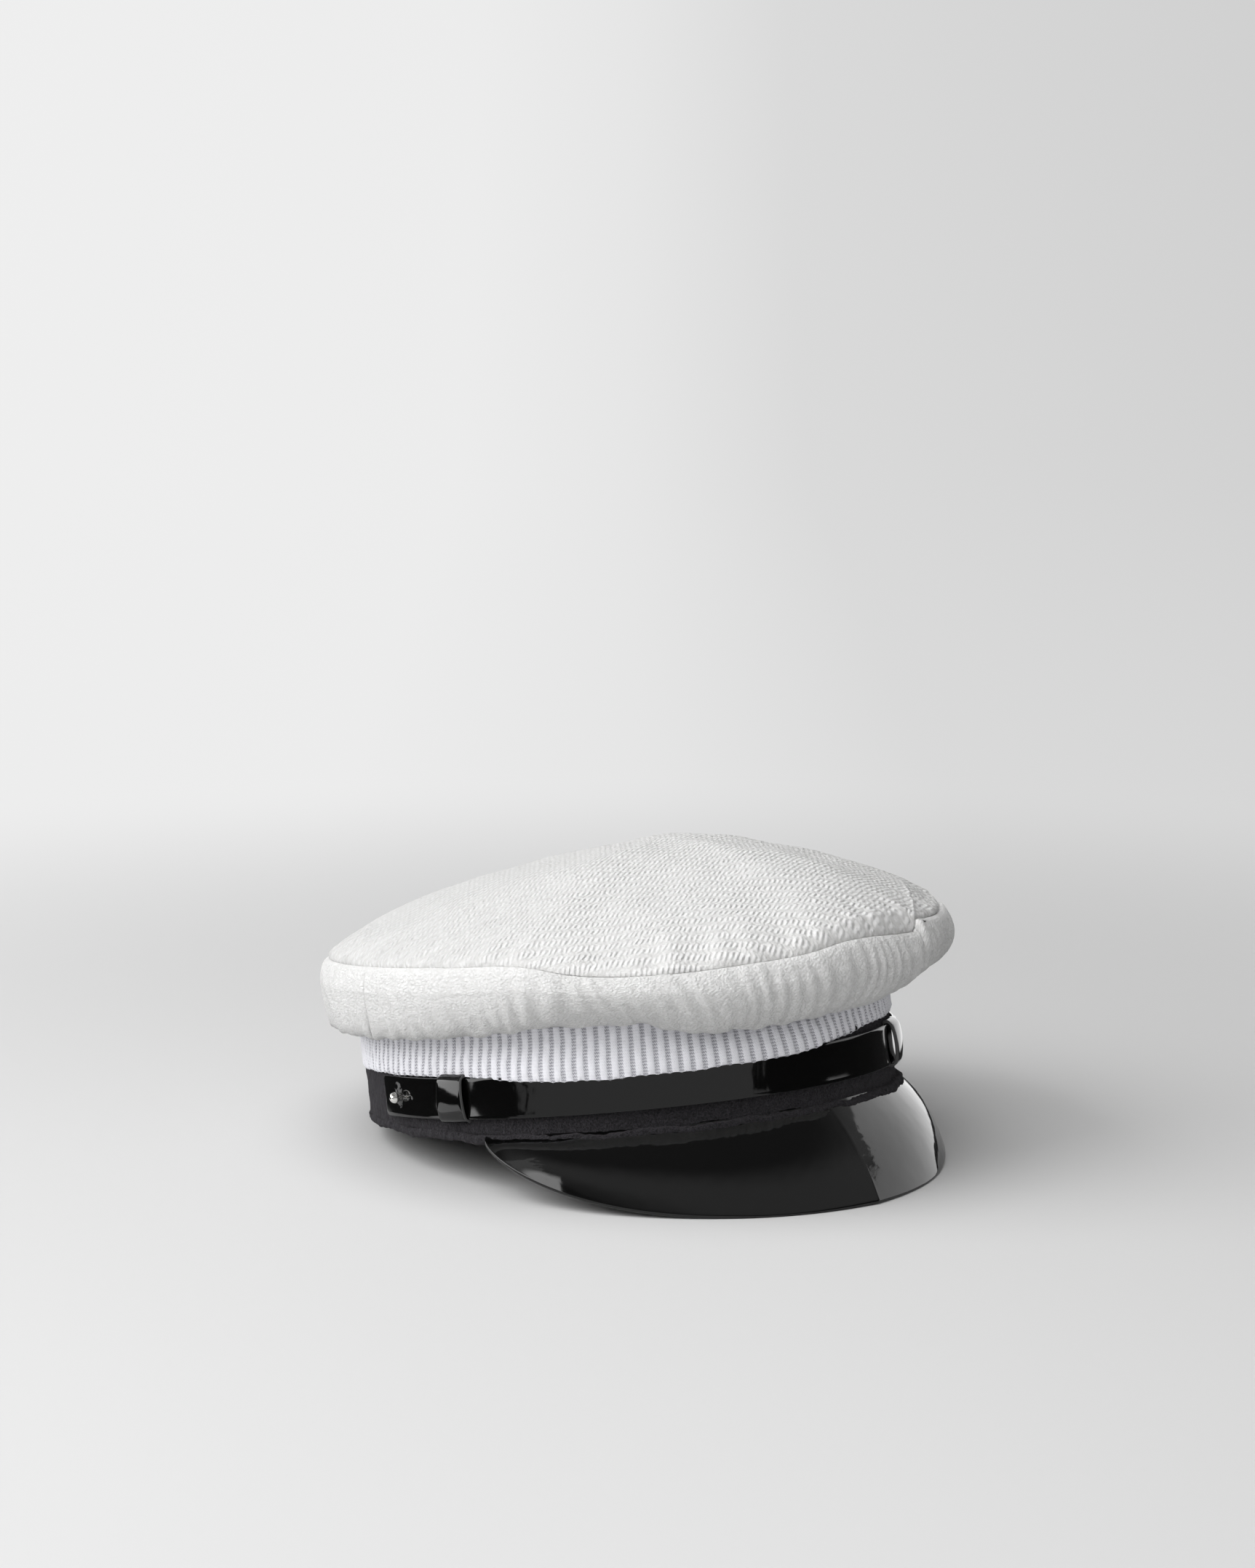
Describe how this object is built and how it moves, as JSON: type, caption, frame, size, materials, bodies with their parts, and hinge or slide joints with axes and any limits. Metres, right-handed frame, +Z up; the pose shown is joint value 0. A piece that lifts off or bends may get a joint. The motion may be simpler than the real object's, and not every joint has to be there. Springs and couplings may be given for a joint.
{
  "type": "peaked cap",
  "caption": "Soft white peaked cap with a rib-knit and felt band, a glossy black visor and a two-part patent chin strap with two keepers on ball studs.",
  "frame": {"origin": "on the surface the cap stands on, under the middle of its bounding box", "axes": "+Z up, -Y ahead of the wearer, +X to the wearer's left; the cap stands on its visor rim and on the rear edge of its band, tipped back by 8.9 degrees"},
  "size_m": [0.218, 0.249, 0.1118],
  "materials": {
    "crown_cloth": "white textured crepe weave, matt",
    "wadding": "soft white wadding",
    "lining_cloth": "plain black lining cloth",
    "rib_knit": "cool white rib knit, matt",
    "wool_felt": "black wool felt with a short nap",
    "buckram": "stiff woven buckram",
    "sweat_leather": "thin black sweatband leather",
    "patent_leather": "black patent leather, mirror gloss",
    "fibreboard": "dark fibreboard core",
    "visor_cloth": "black lining cloth",
    "polished_metal": "polished silver-coloured metal"
  },
  "bodies": {
    "cap": {"crown_top_panel": "crown_cloth", "crown_side_front": "crown_cloth", "crown_side_left": "crown_cloth", "crown_side_back": "crown_cloth", "crown_wadding_top": "wadding", "crown_wadding_side": "wadding", "crown_lining_top": "lining_cloth", "crown_lining_side": "lining_cloth", "rib_knit_band": "rib_knit", "felt_band": "wool_felt", "felt_binding": "wool_felt", "band_stiffener": "buckram", "sweatband": "sweat_leather", "visor_patent": "patent_leather", "visor_board": "fibreboard", "visor_lining": "visor_cloth", "stud_right": "polished_metal", "stud_left": "polished_metal", "stud_washers": "polished_metal"},
    "chin_strap": {"chin_strap_upper": "patent_leather", "chin_strap_under": "patent_leather"},
    "right_keeper": {"keeper_right": "patent_leather"},
    "left_keeper": {"keeper_left": "patent_leather"}
  },
  "joints": [
    {"name": "strap_swing", "type": "hinge", "parent": "cap", "child": "chin_strap", "pos_m": [0, 0.02298, 0.02642], "axis": [1, 0, 0], "range_deg": [0, 1.25]},
    {"name": "right_keeper_slide", "type": "hinge", "parent": "chin_strap", "child": "right_keeper", "pos_m": [0.01565, 0.00698, 0.02892], "axis": [0, 0.1541, 0.988], "range_deg": [-3, 20]},
    {"name": "left_keeper_slide", "type": "hinge", "parent": "chin_strap", "child": "left_keeper", "pos_m": [-0.01565, 0.00698, 0.02892], "axis": [0, 0.1541, 0.988], "range_deg": [0, 45]}
  ]
}
